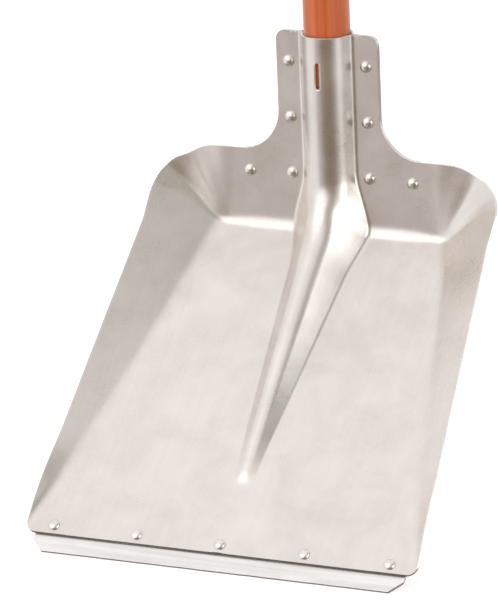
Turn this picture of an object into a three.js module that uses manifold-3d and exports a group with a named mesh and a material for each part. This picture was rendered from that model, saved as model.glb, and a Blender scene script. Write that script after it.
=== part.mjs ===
// Aluminium snow shovel: a pressed three-sided pan riveted to a rear socket shell, with a steel
// wear strip along the working edge and a round wooden shaft held in the socket by one screw.
//
// Units are millimetres. The shovel stands upright with its hollow side to -Y: +Z runs up along the
// shaft and X runs across the pan. The origin is under the middle of the object, level with its
// lowest edge.
//
// Two local frames are used while building:
//   neck frame (x, s, n): s runs up the shaft from the pan's rear fold, n is normal to the neck.
//   pan frame  (x, y, z): y runs to the rear along the pan floor, z is normal to the floor.
import * as THREE from "three";
import { mergeVertices } from "three/addons/utils/BufferGeometryUtils.js";
import Module from "manifold-3d";

const wasm = await Module();
wasm.setup();

// ---- Driving dimensions ----
const SHEET = 2; // thickness of both aluminium pressings
const GAP = 0.3; // clearance between faces that touch on the real shovel

const LIFT = THREE.MathUtils.degToRad(50); // angle between the pan floor and the neck
const PAN_LENGTH = 309; // rear fold to front edge
const PAN_FRONT_HALF = 170; // half width over the front edge
const PAN_REAR_HALF = 150; // half width over the side walls, level with the fold
const FRONT_CORNER_R = 9;
const FOLD_REAR_HALF = 99; // half width of the flat floor at the rear fold
const FOLD_FLARE = 0.2376; // how fast the floor widens towards the front
const FOLD_BOW = 9; // the side folds bow inwards by this much, most of all just past half way
const FOLD_BOW_POWER = 1.4;
const FOLD_BOW_MARGIN = 20; // width that keeps the wall's slope steady where it runs out in front
const FRONT_STEEPER = 0.45; // the side walls get this much steeper where they run out in front
const FRONT_STEEPER_Y = [-210, -280];
const SIDE_SLOPE = 0.674; // rise of a side wall per millimetre of width at the rear
const BLEND = 4.5; // height over which a wall rounds into the floor
const REAR_FLAT_HALF = 94; // the rear wall is flat to here, then leans back into the corners
const REAR_SWEEP = 9.8;
const REAR_SWEEP_WIDTH = 40;

const NECK_TOP = 164.5; // s of the top edge of the neck
const NECK_HALF = 45;
const NECK_CORNER_R = 8;
const SHOULDER_S = 63; // s of the straight top edge of the rear wall
const SHOULDER_INNER = 80; // half width where the neck fillet meets the shoulder
const SHOULDER_OUTER = 107.5; // half width where the shoulder starts to round down
const SHOULDER_BULGE = 7.5; // how far the rounded shoulder stands outside an ellipse
const SHOULDER_DROP_Y = -26; // pan y where the rounded shoulder meets the side edge
const NECK_FILLET_R = SHOULDER_INNER - NECK_HALF;

const SHAFT_R = 19;
const SHAFT_LENGTH = 1200;
const SHAFT_START = 80; // s of the shaft's lower end, inside the socket
const SOCKET_PLAY = 0.5; // clearance between the shaft and the socket
const TUBE_R = SHAFT_R + SOCKET_PLAY + SHEET; // outside radius of the socket
const AXIS_N = -SHEET - GAP / 2; // n of the shaft's axis, midway between the two pressings
const TUBE_H = TUBE_R + AXIS_N; // height of the socket's crest over the neck
const TUBE_FLANK = THREE.MathUtils.degToRad(68); // steepness of the socket's sides
const TUBE_TOP_HALF = TUBE_R * Math.tan(TUBE_FLANK / 2);
const TUBE_BASE_HALF = TUBE_TOP_HALF + TUBE_H / Math.tan(TUBE_FLANK);
const TUBE_FULL_S = 52; // above this s the socket keeps one section

const RIB_LENGTH = 248; // rear fold to the rib's tip
const RIB_BASE_REAR = 33; // half width of the rib's foot at the fold
const RIB_BASE_TIP = 8;
const RIB_TOP_REAR = 8.5; // half width of its crest, where the straight flanks would meet the level
const RIB_TOP_TIP = 2;
const RIB_FLARE = 4; // extra half width gained close to the fold
const RIB_FLARE_LENGTH = 45;
const RIB_H_TIP = 1;
const RIB_H_GAIN = 29; // rise of the crest from tip to fold
const RIB_FADE = 0.06; // share of the length over which the tip sinks into the floor
const RIB_FOOT_R = [3, 6]; // fillet between rib and floor, at the tip and at the fold
const TUBE_FOOT_R = 4;
const BEND_START_Y = -32; // pan y where the crest starts to bend up into the socket
const BEND_CORNER_S = 23; // s where the straight crests of rib and socket would meet
const BEND_END_S = 45; // s where the bend ends

const RIVET_SHANK_R = 2.5;
const RIVET_HEAD_R = 4.8;
const RIVET_HEAD_H = 2.8;
const RIVET_TAIL_R = 4;
const RIVET_TAIL_H = 1.4;
const NECK_RIVET_X = 34;
const NECK_RIVET_S = [139, 92.5, 46];
const OUTER_RIVET_X = 72;
const OUTER_RIVET_S = 45;
const EDGE_RIVET_PITCH = 73;
const EDGE_RIVET_Y = -301;

const STRIP_T = 2.5;
const STRIP_OVERHANG = 15; // how far the strip stands out in front of the pan
const STRIP_OVERLAP = 19; // how far it reaches back under the pan
const STRIP_HALF = 161;
const STRIP_END_CUT = 10; // each end is cut back by this much at the front

const SLOT_S = 133;
const SLOT_LENGTH = 22;
const SLOT_WIDTH = 3.2;

const SCREW_S = 128;
const SCREW_SHANK_R = 2;
const SCREW_LENGTH = 20;
const SCREW_POINT = 3;
const SCREW_HEAD_R = 4.2;
const SCREW_HEAD_H = 2.4;

const BACK_LOBE_HALF = 82; // rear shell: half width of its lower lobes
const BACK_BOTTOM_S = 30;
const BACK_CORNER_R = 10;
const BACK_SHOULDER_R = 5;
const BACK_CLOSE_START = 74; // s where the rear half tube starts to close
const BACK_CLOSE_END = 40;

// ---- Frames ----
const COS = Math.cos(LIFT);
const SIN = Math.sin(LIFT);
const REAR_SLOPE = Math.tan(LIFT);
const FRONT_Y = -PAN_LENGTH;
const SHAFT_END = SHAFT_START + SHAFT_LENGTH;
const STRIP_TOP_Z = -SHEET - GAP;
const STRIP_FRONT_Y = FRONT_Y - STRIP_OVERHANG;
// The strip's front face is the lowest and foremost part, the screw's head is the rearmost.
const LOWEST_S = STRIP_FRONT_Y * COS + (STRIP_TOP_Z - STRIP_T) * SIN;
const FOREMOST_N = STRIP_TOP_Z * COS - STRIP_FRONT_Y * SIN;
const REARMOST_N = AXIS_N - TUBE_R - GAP - SCREW_HEAD_H;
const MIDDLE_N = (FOREMOST_N + REARMOST_N) / 2;

const neckToRow = (x, s, n) => new THREE.Vector3(x, MIDDLE_N - n, s - LOWEST_S);
const panToRow = (x, y, z) => neckToRow(x, y * COS + z * SIN, z * COS - y * SIN);

// Places a mesh modelled along its own +Y on the neck or on the pan floor, with +Y along the normal.
const onNeck = (mesh, x, s, n = 0) => {
  mesh.position.copy(neckToRow(x, s, n));
  mesh.rotation.x = Math.PI;
  return mesh;
};
const onPan = (mesh, x, y, z = 0) => {
  mesh.position.copy(panToRow(x, y, z));
  mesh.rotation.x = Math.PI - LIFT;
  return mesh;
};

// ---- Small numeric helpers ----
const lerp = (a, b, t) => a + (b - a) * t;
const clamp01 = (t) => Math.min(1, Math.max(0, t));
const smooth = (t) => clamp01(t) ** 2 * (3 - 2 * clamp01(t));
const range = (a, b, count) => Array.from({ length: count }, (_, i) => lerp(a, b, i / (count - 1)));

// ---- Solids and booleans ----
function solidOf(geometry, matrix = new THREE.Matrix4()) {
  const bare = new THREE.BufferGeometry();
  const flat = geometry.index ? geometry.toNonIndexed() : geometry;
  bare.setAttribute("position", flat.getAttribute("position").clone());
  bare.applyMatrix4(matrix);
  const merged = mergeVertices(bare, 1e-3);
  return new wasm.Manifold(
    new wasm.Mesh({
      numProp: 3,
      vertProperties: merged.attributes.position.array,
      triVerts: new Uint32Array(merged.index.array),
    }),
  );
}

const SLIVER = 0.004; // edges shorter than this are collapsed after a boolean
function geometryOf(solid) {
  const mesh = solid.simplify(SLIVER).getMesh();
  const geometry = new THREE.BufferGeometry();
  geometry.setAttribute("position", new THREE.BufferAttribute(mesh.vertProperties, 3));
  geometry.setIndex(new THREE.BufferAttribute(mesh.triVerts, 1));
  return geometry;
}

// A closed sheet from a grid of points on one face, given its thickness along the grid's normals.
function sheetSolid(rows, thickness) {
  const height = rows.length;
  const width = rows[0].length;
  const normals = rows.map((row) => row.map(() => new THREE.Vector3()));
  const a = new THREE.Vector3();
  const b = new THREE.Vector3();
  for (let j = 0; j < height - 1; j++)
    for (let i = 0; i < width - 1; i++) {
      a.subVectors(rows[j + 1][i + 1], rows[j][i]);
      b.subVectors(rows[j + 1][i], rows[j][i + 1]);
      const n = new THREE.Vector3().crossVectors(a, b);
      for (const [dj, di] of [[0, 0], [0, 1], [1, 0], [1, 1]]) normals[j + dj][i + di].add(n);
    }
  const points = [];
  rows.forEach((row) => row.forEach((p) => points.push(p.x, p.y, p.z)));
  rows.forEach((row, j) =>
    row.forEach((p, i) => {
      const q = normals[j][i].normalize().multiplyScalar(-thickness).add(p);
      points.push(q.x, q.y, q.z);
    }),
  );
  const under = height * width;
  const index = [];
  const at = (j, i) => j * width + i;
  const quad = (p, q, r, s) => index.push(p, q, r, p, r, s);
  for (let j = 0; j < height - 1; j++)
    for (let i = 0; i < width - 1; i++) {
      quad(at(j, i), at(j, i + 1), at(j + 1, i + 1), at(j + 1, i));
      quad(under + at(j + 1, i), under + at(j + 1, i + 1), under + at(j, i + 1), under + at(j, i));
    }
  const rim = [];
  for (let i = 0; i < width - 1; i++) rim.push(at(0, i));
  for (let j = 0; j < height - 1; j++) rim.push(at(j, width - 1));
  for (let i = width - 1; i > 0; i--) rim.push(at(height - 1, i));
  for (let j = height - 1; j > 0; j--) rim.push(at(j, 0));
  rim.forEach((p, k) => {
    const q = rim[(k + 1) % rim.length];
    quad(q, p, under + p, under + q);
  });
  const geometry = new THREE.BufferGeometry();
  geometry.setAttribute("position", new THREE.Float32BufferAttribute(points, 3));
  geometry.setIndex(index);
  return solidOf(geometry);
}

// ---- Rib and socket section ----
// Half of a raised section from its foot on the flat to its crest: a fillet, a straight flank and an
// arc that is level at the crest. Returns [x, height] pairs, foot first.
const SECTION_FILLET_STEPS = 2;
const SECTION_ARC_STEPS = 6;
function ribSection(baseHalf, topHalf, height, footR) {
  const flank = Math.atan2(height, baseHalf - topHalf);
  const topR = topHalf / Math.tan(flank / 2);
  const footX = baseHalf + footR * Math.tan(flank / 2);
  const points = [];
  for (let k = 0; k <= SECTION_FILLET_STEPS; k++) {
    const a = (flank * k) / SECTION_FILLET_STEPS;
    points.push([footX - footR * Math.sin(a), footR * (1 - Math.cos(a))]);
  }
  for (let k = 0; k <= SECTION_ARC_STEPS; k++) {
    const a = flank * (1 - k / SECTION_ARC_STEPS);
    points.push([topR * Math.sin(a), height - topR * (1 - Math.cos(a))]);
  }
  return points;
}

// ---- Pan surface ----
const foldBow = (y) => FOLD_BOW * (1 - (2 * clamp01(-y / PAN_LENGTH) ** FOLD_BOW_POWER - 1) ** 2);
const floorHalf = (y) => FOLD_REAR_HALF - FOLD_FLARE * y - foldBow(y);
const SIDE_EDGE_LENGTH = PAN_LENGTH - FRONT_CORNER_R;
const edgeHalf = (y) => PAN_REAR_HALF - ((PAN_FRONT_HALF - PAN_REAR_HALF) * y) / SIDE_EDGE_LENGTH;
// The bow leaves the outer edge at its height, so the wall is flatter where it is wider.
const sideSlope = (y) => {
  const [start, end] = FRONT_STEEPER_Y;
  const bowed = 1 - foldBow(y) / (edgeHalf(y) - floorHalf(y) + FOLD_BOW_MARGIN);
  return SIDE_SLOPE * bowed * (1 + FRONT_STEEPER * smooth((y - start) / (end - start)));
};

// Height of the pressed sheet over the floor. The rear corners are cones whose apex is on the floor.
function panHeight(x, y) {
  const sweep = REAR_SWEEP * smooth((Math.abs(x) - REAR_FLAT_HALF) / REAR_SWEEP_WIDTH);
  const side = Math.max(0, sideSlope(y) * (Math.abs(x) - floorHalf(y)) + BLEND);
  const rear = Math.max(0, REAR_SLOPE * (y - sweep) + BLEND);
  const u = Math.hypot(side, rear);
  return u < 2 * BLEND ? (u * u) / (4 * BLEND) : u - BLEND;
}

// Rib crest and its bend into the socket, as pan [y, z].
const ribShare = (y) => clamp01((y + RIB_LENGTH) / RIB_LENGTH);
const crestHeight = (y) => (RIB_H_TIP + RIB_H_GAIN * ribShare(y)) * smooth(ribShare(y) / RIB_FADE);
const neckPoint = (s, n) => [s * COS - n * SIN, s * SIN + n * COS];
const BEND = [
  [BEND_START_Y, crestHeight(BEND_START_Y)],
  neckPoint(BEND_CORNER_S, TUBE_H),
  neckPoint(BEND_END_S, TUBE_H),
];
function bendCrest(t) {
  const weights = [(1 - t) ** 2, 2 * t * (1 - t), t * t];
  return [0, 1].map((axis) => weights.reduce((sum, w, i) => sum + w * BEND[i][axis], 0));
}

// The outline from the side wall, round the shoulder and up the neck, as pan [x, y].
const SHOULDER_Y = SHOULDER_S * COS;
const NECK_START_S = SHOULDER_S + NECK_FILLET_R;
const OUTLINE_SHARES = { side: 0.1, corner: 0.6, shoulder: 0.7 };
function rearOutline(t) {
  const { side, corner, shoulder } = OUTLINE_SHARES;
  const dropX = edgeHalf(SHOULDER_DROP_Y);
  if (t < side) {
    const y = lerp(BEND_START_Y, SHOULDER_DROP_Y, t / side);
    return [edgeHalf(y), y];
  }
  if (t < corner) {
    const a = (Math.PI / 2) * ((t - side) / (corner - side));
    return [
      lerp(SHOULDER_OUTER, dropX, Math.cos(a)) + SHOULDER_BULGE * Math.sin(2 * a) ** 2,
      lerp(SHOULDER_DROP_Y, SHOULDER_Y, Math.sin(a)),
    ];
  }
  if (t < shoulder) {
    const share = (t - corner) / (shoulder - corner);
    return [lerp(SHOULDER_OUTER, SHOULDER_INNER, share), SHOULDER_Y];
  }
  const a = (Math.PI / 2) * ((t - shoulder) / (1 - shoulder));
  return [SHOULDER_INNER - NECK_FILLET_R * Math.sin(a), SHOULDER_Y + NECK_FILLET_R * (1 - Math.cos(a)) * COS];
}

// Section of the rib over the floor and of the socket up the neck.
const panSection = (y) => {
  const t = ribShare(y);
  const flare = RIB_FLARE * smooth((y + RIB_FLARE_LENGTH) / RIB_FLARE_LENGTH);
  return {
    base: lerp(RIB_BASE_TIP, RIB_BASE_REAR - RIB_FLARE, t) + flare,
    top: lerp(RIB_TOP_TIP, RIB_TOP_REAR, t),
    foot: lerp(RIB_FOOT_R[0], RIB_FOOT_R[1], t),
  };
};
const neckSection = (s) => {
  const t = smooth(s / TUBE_FULL_S);
  return {
    base: lerp(RIB_BASE_REAR, TUBE_BASE_HALF, t),
    top: lerp(RIB_TOP_REAR, TUBE_TOP_HALF, t),
    foot: lerp(RIB_FOOT_R[1], TUBE_FOOT_R, t),
  };
};

// One row of the pan: foot and crest of the raised middle, its section, the end of the row on the
// outline, and how closely the columns follow the side fold.
const cornerInset = (radius, distance) => radius - Math.sqrt(radius ** 2 - Math.max(0, distance) ** 2);
function panRow(y) {
  const cut = cornerInset(FRONT_CORNER_R, FRONT_Y + FRONT_CORNER_R - y);
  return {
    base: [y, 0],
    crest: [y, crestHeight(y)],
    section: panSection(y),
    outline: [edgeHalf(Math.max(y, FRONT_Y + FRONT_CORNER_R)) - cut, y],
    fold: 1,
  };
}
function bendRow(t) {
  const y = lerp(BEND_START_Y, NECK_START_S * COS, t);
  const s = y / COS;
  const bend = clamp01((y - BEND_START_Y) / (BEND_END_S * COS - BEND_START_Y));
  return {
    base: [y, panHeight(0, y)],
    crest: bend < 1 ? bendCrest(bend) : neckPoint(s, TUBE_H),
    section: s < 0 ? panSection(y) : neckSection(s),
    outline: rearOutline(t),
    fold: 1 - smooth(t / OUTLINE_SHARES.shoulder),
  };
}
function neckRow(s) {
  return {
    base: neckPoint(s, 0),
    crest: neckPoint(s, TUBE_H),
    section: neckSection(s),
    outline: [NECK_HALF - cornerInset(NECK_CORNER_R, s - NECK_TOP + NECK_CORNER_R), s * COS],
    fold: 0,
  };
}

const LEAST_STEP = 1.5; // closest spacing of two columns
const LEAST_RISE = 0.5; // a section lower than this is scaled down from this height
function rowPoints({ base, crest, section, outline, fold }) {
  const rise = Math.hypot(crest[0] - base[0], crest[1] - base[1]);
  const up = rise > 0 ? [(crest[0] - base[0]) / rise, (crest[1] - base[1]) / rise] : [0, 1];
  const full = Math.max(rise, LEAST_RISE);
  const raised = ribSection(section.base, section.top, full, section.foot).map(([x, h]) => {
    const lift = (h * rise) / full;
    return [x, base[0] + up[0] * lift, base[1] + up[1] * lift];
  });
  // From the outline in to the foot of the raised part, closely spaced where the wall meets the floor.
  const [footX, footY] = raised[0];
  const [outX, outY] = outline;
  const slant = (outY - footY) / (outX - footX);
  const foldX = (floorHalf(footY) + FOLD_FLARE * slant * footX) / (1 + FOLD_FLARE * slant);
  const foldW = BLEND / SIDE_SLOPE;
  const aligned = [
    outX,
    lerp(outX, foldX + foldW, 0.5),
    ...range(foldX + foldW, foldX - foldW, 4),
    lerp(foldX - foldW, footX, 0.5),
  ];
  const flat = aligned.map((line, i) => {
    const x = lerp(lerp(outX, footX, i / aligned.length), Math.min(line, outX - LEAST_STEP * i), fold);
    const y = footY + (x - footX) * slant;
    return [x, y, panHeight(x, y)];
  });
  return mirrored([...flat, ...raised]).map(([x, y, z]) => panToRow(x, y, z));
}
// A whole row, left to right, from its right half given outside first.
function mirrored(right) {
  return [...right.map(([x, ...rest]) => [-x, ...rest]), ...right.slice(0, -1).reverse()];
}

// ---- Rivets, screw and holes ----
const ROUND_SEGMENTS = 14;
const lathe = (profile, segments) =>
  new THREE.LatheGeometry(profile.map(([r, y]) => new THREE.Vector2(r, y)), segments);

// Half outline of a shallow dome that stands on the height y, edge first.
const DOME_STEPS = 3;
const dome = (radius, height, y) =>
  Array.from({ length: DOME_STEPS + 1 }, (_, k) => {
    const a = (Math.PI / 2) * (k / DOME_STEPS);
    return [k === DOME_STEPS ? 0 : radius * Math.cos(a), y + height * Math.sin(a)];
  });
const underside = (profile, y) => profile.map(([r, h]) => [r, y - h]).reverse();

// A solid rivet through a stack: its head is over y = 0 and its formed tail is under the stack.
function rivetGeometry(stack) {
  const tailY = -stack - GAP;
  const profile = [
    ...underside(dome(RIVET_TAIL_R, RIVET_TAIL_H, 0), tailY),
    [RIVET_SHANK_R, tailY],
    [RIVET_SHANK_R, GAP],
    ...dome(RIVET_HEAD_R, RIVET_HEAD_H, GAP),
  ];
  return lathe(profile, ROUND_SEGMENTS);
}

// A pin that cuts a round hole. It is turned half a facet so that no corner lies on the centre line.
function holePin(radius, length, place) {
  const pin = place(new THREE.Mesh(new THREE.CylinderGeometry(radius, radius, length, ROUND_SEGMENTS)));
  pin.rotateY(Math.PI / ROUND_SEGMENTS / 2);
  pin.updateMatrixWorld(true);
  return solidOf(pin.geometry, pin.matrixWorld);
}
const cutAll = (solid, cutters) => cutters.reduce((left, cutter) => left.subtract(cutter), solid);

const neckRivets = [["left", -1], ["right", 1]].flatMap(([side, sign]) => [
  ...["upper", "middle", "lower"].map((level, i) => ({
    name: `neck_rivet_${side}_${level}`,
    x: sign * NECK_RIVET_X,
    s: NECK_RIVET_S[i],
  })),
  { name: `neck_rivet_${side}_outer`, x: sign * OUTER_RIVET_X, s: OUTER_RIVET_S },
]);
const edgeRivets = [-2, -1, 0, 1, 2].map((k, i) => ({ name: `edge_rivet_${i + 1}`, x: k * EDGE_RIVET_PITCH }));
const HOLE_R = RIVET_SHANK_R + GAP;
// Lengths of the hole pins: each reaches well past the sheets that it goes through.
const NECK_PIN = 16;
const EDGE_PIN = 20;
const SCREW_PIN = 80;
const neckHoles = neckRivets.map(({ x, s }) => holePin(HOLE_R, NECK_PIN, (pin) => onNeck(pin, x, s)));
const edgeHoles = edgeRivets.map(({ x }) =>
  holePin(HOLE_R, EDGE_PIN, (pin) => onPan(pin, x, EDGE_RIVET_Y)),
);

// The long slot through the front of the socket.
function slotSolid() {
  const w = SLOT_WIDTH / 2;
  const l = SLOT_LENGTH / 2 - w;
  const shape = new THREE.Shape();
  shape.absarc(0, l, w, 0, Math.PI);
  shape.absarc(0, -l, w, Math.PI, 2 * Math.PI);
  shape.closePath();
  const prism = new THREE.ExtrudeGeometry(shape, { depth: TUBE_H, bevelEnabled: false, curveSegments: 6 });
  const at = neckToRow(0, SLOT_S, TUBE_H / 2);
  return solidOf(prism, new THREE.Matrix4().makeRotationX(Math.PI / 2).setPosition(at));
}

// ---- Blade ----
const BEND_ROWS = 22;
function bladeGeometry() {
  const cornerStart = NECK_TOP - NECK_CORNER_R;
  // From the front edge up, closer together where the sheet turns.
  const rows = [
    ...[0, 2, 5, FRONT_CORNER_R].map((behind) => panRow(FRONT_Y + behind)), // front corners
    ...range(FRONT_Y + 24, -RIB_LENGTH, 3).map(panRow), // plain floor in front of the rib
    ...[RIB_FADE / 3, (RIB_FADE * 2) / 3, RIB_FADE].map((share) => panRow(RIB_LENGTH * (share - 1))), // its tip
    ...range(-208, BEND_START_Y - 16, 6).map(panRow), // the rib
    ...range(0, 1, BEND_ROWS).map(bendRow), // the bend, the shoulders and the neck fillets
    ...[NECK_START_S + 20, NECK_START_S + 40, cornerStart].map(neckRow), // the neck
    ...[0.45, 0.8, 1].map((share) => neckRow(cornerStart + NECK_CORNER_R * share)), // its top corners
  ];
  return geometryOf(cutAll(sheetSolid(rows.map(rowPoints), SHEET), [...neckHoles, ...edgeHoles, slotSolid()]));
}

// ---- Rear socket shell ----
// A mirror image of the neck about the shaft's axis, closed at its lower end.
function backHalfWidth(s) {
  if (s >= NECK_START_S) return NECK_HALF - cornerInset(NECK_CORNER_R, s - NECK_TOP + NECK_CORNER_R);
  if (s > SHOULDER_S) return SHOULDER_INNER - Math.sqrt(NECK_FILLET_R ** 2 - (NECK_START_S - s) ** 2);
  const bottom = cornerInset(BACK_CORNER_R, BACK_BOTTOM_S + BACK_CORNER_R - s);
  const top = cornerInset(BACK_SHOULDER_R, s - SHOULDER_S + BACK_SHOULDER_R);
  return BACK_LOBE_HALF - bottom - top;
}
function socketBackGeometry() {
  // Heights of the rows from the top down, closer together where the outline turns.
  const rowsAt = [
    ...[0, 1.6, 4.4, NECK_CORNER_R].map((below) => NECK_TOP - below), // top corners
    ...range(144, NECK_START_S, 3), // straight sides
    ...[22, 14, 8, 4, 1].map((above) => SHOULDER_S + above), // neck fillets
    ...[0.8, 2.5, BACK_SHOULDER_R].map((below) => SHOULDER_S - below), // corners of the lobes
    ...[53, 48, 44], // closing end of the tube
    ...[BACK_CORNER_R, 6, 3, 1, 0].map((above) => BACK_BOTTOM_S + above), // bottom corners
  ];
  const section = ribSection(TUBE_BASE_HALF, TUBE_TOP_HALF, TUBE_H, TUBE_FOOT_R);
  const even = range(section[0][0], 0, section.length); // the section's columns where it is flat
  const rows = rowsAt.map((s) => {
    const open = smooth((s - BACK_CLOSE_END) / (BACK_CLOSE_START - BACK_CLOSE_END));
    const raised = section.map(([x, h], i) => [lerp(even[i], x, open), h * open]);
    const flat = range(backHalfWidth(s), raised[0][0], 5).slice(0, -1).map((x) => [x, 0]);
    return mirrored([...flat, ...raised]).map(([x, h]) => neckToRow(x, s, 2 * AXIS_N - h));
  });
  const screwHole = holePin(SCREW_SHANK_R + GAP, SCREW_PIN, (pin) => onNeck(pin, 0, SCREW_S));
  return geometryOf(cutAll(sheetSolid(rows, SHEET), [...neckHoles, screwHole]));
}

// ---- Wear strip ----
function wearStripGeometry() {
  const rear = FRONT_Y + STRIP_OVERLAP;
  const cutY = STRIP_FRONT_Y + STRIP_END_CUT;
  const shape = new THREE.Shape();
  shape.moveTo(-STRIP_HALF, rear);
  shape.lineTo(-STRIP_HALF, cutY);
  shape.lineTo(-STRIP_HALF + STRIP_END_CUT, STRIP_FRONT_Y);
  shape.lineTo(STRIP_HALF - STRIP_END_CUT, STRIP_FRONT_Y);
  shape.lineTo(STRIP_HALF, cutY);
  shape.lineTo(STRIP_HALF, rear);
  shape.closePath();
  const bar = new THREE.ExtrudeGeometry(shape, { depth: STRIP_T, bevelEnabled: false });
  const at = panToRow(0, 0, STRIP_TOP_Z - STRIP_T);
  const matrix = new THREE.Matrix4().makeRotationX(Math.PI / 2 - LIFT).setPosition(at);
  return geometryOf(cutAll(solidOf(bar, matrix), edgeHoles));
}

// ---- Shaft and screw ----
const SHAFT_SEGMENTS = 36;
const SHAFT_END_FLAT_R = 10;
const SHAFT_CHAMFER = 2;
function shaftGeometry() {
  const endRound = SHAFT_R - SHAFT_END_FLAT_R;
  const roundSteps = 4;
  const profile = [
    [0, SHAFT_START],
    [SHAFT_R - SHAFT_CHAMFER, SHAFT_START],
    [SHAFT_R, SHAFT_START + SHAFT_CHAMFER],
    ...Array.from({ length: roundSteps + 1 }, (_, k) => {
      const a = (Math.PI / 2) * (k / roundSteps);
      return [SHAFT_END_FLAT_R + endRound * Math.cos(a), SHAFT_END - endRound * (1 - Math.sin(a))];
    }),
    [0, SHAFT_END],
  ];
  const upright = new THREE.Matrix4().makeRotationX(Math.PI / 2).setPosition(neckToRow(0, 0, AXIS_N));
  const rod = solidOf(lathe(profile, SHAFT_SEGMENTS), upright);
  const pilotDepth = SCREW_LENGTH + GAP - TUBE_R + AXIS_N;
  const pilotLength = 40;
  const pilot = holePin(SCREW_SHANK_R + GAP, pilotLength, (pin) =>
    onNeck(pin, 0, SCREW_S, pilotDepth - pilotLength / 2),
  );
  return geometryOf(rod.subtract(pilot));
}

function screwGeometry() {
  const headY = -TUBE_R - GAP;
  const tipY = SCREW_LENGTH - TUBE_R;
  const profile = [
    ...underside(dome(SCREW_HEAD_R, SCREW_HEAD_H, 0), headY),
    [SCREW_SHANK_R, headY],
    [SCREW_SHANK_R, tipY - SCREW_POINT],
    [0, tipY],
  ];
  return lathe(profile, ROUND_SEGMENTS);
}

// ---- Assembly ----
const metal = (color, roughness) => new THREE.MeshStandardMaterial({ color, roughness, metalness: 1 });
const aluminium = metal(0xd6d2cd, 0.42);
const rivetAluminium = metal(0xdedcd8, 0.3);
const steel = metal(0xc9ccd0, 0.3);
const zincSteel = metal(0xb8bbbd, 0.4);
const lacqueredWood = new THREE.MeshStandardMaterial({ color: 0xd0662c, roughness: 0.35, metalness: 0 });

const shovel = new THREE.Group();
function add(name, geometry, material) {
  const mesh = new THREE.Mesh(geometry, material);
  mesh.name = name;
  shovel.add(mesh);
  return mesh;
}
add("blade", bladeGeometry(), aluminium);
add("socket_back", socketBackGeometry(), aluminium);
add("wear_strip", wearStripGeometry(), steel);
add("handle_shaft", shaftGeometry(), lacqueredWood);
onNeck(add("handle_screw", screwGeometry(), zincSteel), 0, SCREW_S, AXIS_N);
for (const { name, x, s } of neckRivets) {
  onNeck(add(name, rivetGeometry(2 * SHEET + GAP), rivetAluminium), x, s);
}
for (const { name, x } of edgeRivets) {
  onPan(add(name, rivetGeometry(SHEET + GAP + STRIP_T), rivetAluminium), x, EDGE_RIVET_Y);
}

export default shovel;
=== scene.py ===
"""Aluminium snow shovel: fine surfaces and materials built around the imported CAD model.

Shapes are worked out in millimetres in two local frames and written in metres in the row frame,
which is the CAD model's own:
  neck frame (x, s, n): s runs up the shaft from the pan's rear fold, n is normal to the neck.
  pan frame  (x, y, z): y runs to the rear along the pan floor, z is normal to the floor.
"""

import math

import bmesh
import bpy
import numpy as np
from mathutils import Matrix, Vector


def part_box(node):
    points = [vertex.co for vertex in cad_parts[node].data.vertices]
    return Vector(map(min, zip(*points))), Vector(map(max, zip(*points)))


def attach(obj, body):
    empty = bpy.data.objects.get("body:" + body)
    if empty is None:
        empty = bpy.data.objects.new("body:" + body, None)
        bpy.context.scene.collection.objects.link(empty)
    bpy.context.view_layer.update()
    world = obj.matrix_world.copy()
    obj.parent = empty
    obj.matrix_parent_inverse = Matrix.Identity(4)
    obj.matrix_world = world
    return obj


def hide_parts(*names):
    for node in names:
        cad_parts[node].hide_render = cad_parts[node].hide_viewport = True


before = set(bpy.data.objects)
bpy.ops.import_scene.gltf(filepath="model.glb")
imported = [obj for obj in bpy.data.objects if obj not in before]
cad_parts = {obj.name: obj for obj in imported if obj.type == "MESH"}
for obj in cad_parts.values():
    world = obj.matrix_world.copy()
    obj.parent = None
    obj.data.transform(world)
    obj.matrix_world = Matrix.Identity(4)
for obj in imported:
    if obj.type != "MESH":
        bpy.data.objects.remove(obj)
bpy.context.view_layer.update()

MM = 0.001

# ---- Driving dimensions, in millimetres ----
SHEET = 2.0
GAP = 0.3
EDGE_ROUND = 0.45  # radius of the worn sheet edges

LIFT = math.radians(50)  # angle between the pan floor and the neck
PAN_LENGTH = 309.0
PAN_FRONT_HALF = 170.0
PAN_REAR_HALF = 150.0
FRONT_CORNER_R = 9.0
FOLD_REAR_HALF = 99.0
FOLD_FLARE = 0.2376  # by which a side fold moves out for each millimetre to the front
FOLD_BOW = 9.0  # the side folds bow inwards by this much, most of all just past half way
FOLD_BOW_POWER = 1.4
FOLD_BOW_MARGIN = 20.0
FRONT_STEEPER = 0.45  # the side walls get this much steeper where they run out in front
FRONT_STEEPER_Y = (-210.0, -280.0)
SIDE_SLOPE = 0.674  # of a side wall, before the bow and the steeper front change it
BLEND = 4.5  # height over which a wall rounds into the floor
REAR_BLEND = 7.0  # the rear fold is rounder than the side folds
REAR_BLEND_X = (67.0, 97.0)  # and goes over to their roundness between these half widths
REAR_FLAT_HALF = 94.0  # the rear fold is straight up to here
REAR_SWEEP = 9.8  # and then swings to the rear by this much
REAR_SWEEP_WIDTH = 40.0

NECK_TOP = 164.5
NECK_HALF = 45.0
NECK_CORNER_R = 8.0
SHOULDER_S = 63.0
SHOULDER_INNER = 80.0
SHOULDER_OUTER = 107.5
SHOULDER_BULGE = 7.5
SHOULDER_DROP_Y = -26.0  # the side edge starts to round up to the shoulder here
NECK_FILLET_R = SHOULDER_INNER - NECK_HALF

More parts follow.
